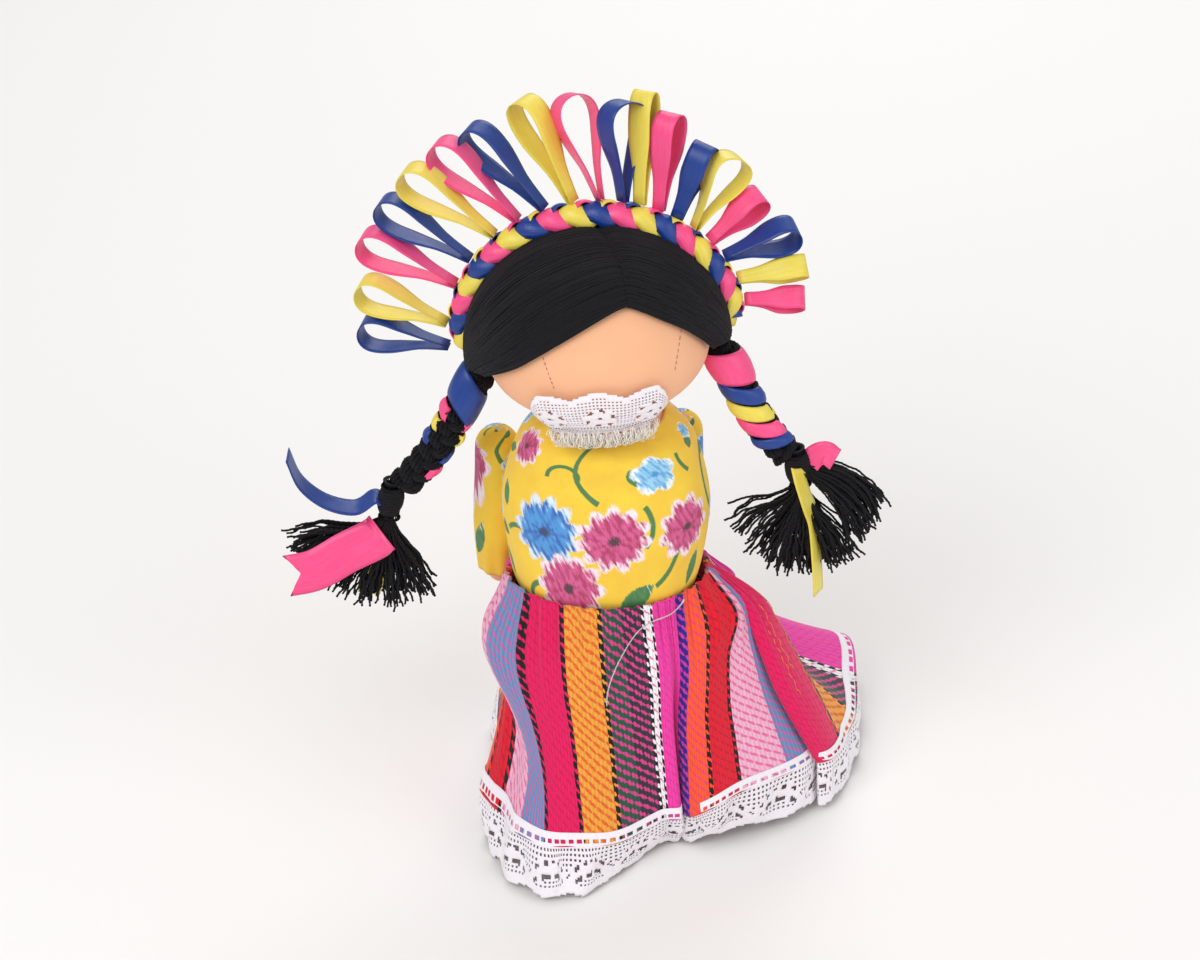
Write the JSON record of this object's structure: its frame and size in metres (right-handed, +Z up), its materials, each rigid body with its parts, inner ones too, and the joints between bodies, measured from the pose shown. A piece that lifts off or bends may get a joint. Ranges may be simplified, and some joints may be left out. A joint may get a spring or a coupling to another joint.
{
  "type": "rag doll",
  "caption": "Cloth rag doll in a printed blouse, striped skirt with lace hem, standing lace collar, black yarn braids with tassels and a fan of satin ribbon loops round the head.",
  "frame": {"origin": "middle of the doll's bounding box, on the surface that the lace hem stands on", "axes": "+Z up, -Y the way the doll faces, +X the viewer's right"},
  "size_m": [0.1733, 0.1166, 0.217],
  "materials": {
    "peach_cotton": "plain woven cotton, matt",
    "polyester_fill": "loose polyester fibre",
    "printed_cotton": "plain woven cotton with a common floral print",
    "striped_twill": "hand-loomed twill with warp stripes",
    "white_lace": "knitted nylon lace",
    "white_thread": "sewing thread",
    "black_yarn": "acrylic yarn",
    "brown_floss": "embroidery floss",
    "red_floss": "embroidery floss",
    "braided_ribbon": "three satin ribbons plaited",
    "black_felt": "wool felt",
    "blue_satin": "satin ribbon",
    "pink_satin": "satin ribbon",
    "yellow_satin": "satin ribbon"
  },
  "bodies": {
    "torso": {"torso_skin": "peach_cotton", "torso_stuffing": "polyester_fill", "blouse": "printed_cotton", "skirt": "striped_twill", "hem_lace": "white_lace", "loose_thread": "white_thread"},
    "head": {"head_skin": "peach_cotton", "head_stuffing": "polyester_fill", "eye_left": "brown_floss", "eye_right": "brown_floss", "mouth": "red_floss", "collar_lace": "white_lace", "hair_left": "black_yarn", "hair_right": "black_yarn", "hair_back": "black_yarn", "headband": "braided_ribbon", "ribbon_loop_01": "blue_satin", "ribbon_loop_02": "yellow_satin", "ribbon_loop_03": "pink_satin", "ribbon_loop_04": "blue_satin", "ribbon_loop_05": "yellow_satin", "ribbon_loop_06": "pink_satin", "ribbon_loop_07": "blue_satin", "ribbon_loop_08": "yellow_satin", "ribbon_loop_09": "pink_satin", "ribbon_loop_10": "blue_satin", "ribbon_loop_11": "yellow_satin", "ribbon_loop_12": "pink_satin", "ribbon_loop_13": "blue_satin", "ribbon_loop_14": "yellow_satin", "ribbon_loop_15": "pink_satin", "ribbon_loop_16": "blue_satin", "ribbon_loop_17": "yellow_satin", "ribbon_loop_18": "pink_satin"},
    "left_braid": {"braid_left": "black_yarn", "braid_ribbon_left": "blue_satin"},
    "right_braid": {"braid_right": "black_yarn", "braid_ribbon_right": "blue_satin"},
    "left_tassel": {"tassel_tie_left": "blue_satin", "tassel_left": "black_yarn", "tail_blue_left": "blue_satin", "tail_pink_left": "pink_satin", "tail_yellow_left": "yellow_satin"},
    "right_tassel": {"tassel_tie_right": "blue_satin", "tassel_right": "black_yarn", "tail_yellow_right": "yellow_satin", "tail_pink_right": "pink_satin"},
    "left_arm": {"sleeve_left": "printed_cotton", "arm_left": "peach_cotton", "arm_stuffing_left": "polyester_fill"},
    "right_arm": {"sleeve_right": "printed_cotton", "arm_right": "peach_cotton", "arm_stuffing_right": "polyester_fill"},
    "left_leg": {"leg_left": "peach_cotton", "leg_stuffing_left": "polyester_fill", "shoe_left": "black_felt"},
    "right_leg": {"leg_right": "peach_cotton", "leg_stuffing_right": "polyester_fill", "shoe_right": "black_felt"}
  },
  "joints": [
    {"name": "neck_nod", "type": "hinge", "parent": "torso", "child": "head", "pos_m": [0.00354, 0.00128, 0.126], "axis": [1, 0, 0], "range_deg": [-12, 15]},
    {"name": "left_braid_lift", "type": "hinge", "parent": "head", "child": "left_braid", "pos_m": [-0.03218, 0.00028, 0.1397], "axis": [0, 1, 0], "range_deg": [-5, 45]},
    {"name": "right_braid_lift", "type": "hinge", "parent": "head", "child": "right_braid", "pos_m": [0.03606, 0.00028, 0.14615], "axis": [0, -1, 0], "range_deg": [-3, 45]},
    {"name": "left_tassel_swing", "type": "hinge", "parent": "left_braid", "child": "left_tassel", "pos_m": [-0.05665, -0.00572, 0.10424], "axis": [1, 0, 0], "range_deg": [-35, 35]},
    {"name": "right_tassel_swing", "type": "hinge", "parent": "right_braid", "child": "right_tassel", "pos_m": [0.05679, -0.00572, 0.11496], "axis": [1, 0, 0], "range_deg": [-35, 35]},
    {"name": "left_arm_raise", "type": "hinge", "parent": "torso", "child": "left_arm", "pos_m": [-0.02743, 0.01527, 0.109], "axis": [0, 1, 0], "range_deg": [0, 90]},
    {"name": "right_arm_raise", "type": "hinge", "parent": "torso", "child": "right_arm", "pos_m": [0.0251, 0.02366, 0.109], "axis": [0, -1, 0], "range_deg": [0, 90]},
    {"name": "left_leg_swing", "type": "hinge", "parent": "torso", "child": "left_leg", "pos_m": [-0.00746, 0.00128, 0.0551], "axis": [1, 0, 0], "range_deg": [-28, 28]},
    {"name": "right_leg_swing", "type": "hinge", "parent": "torso", "child": "right_leg", "pos_m": [0.01454, 0.00128, 0.0551], "axis": [1, 0, 0], "range_deg": [-28, 28]}
  ]
}
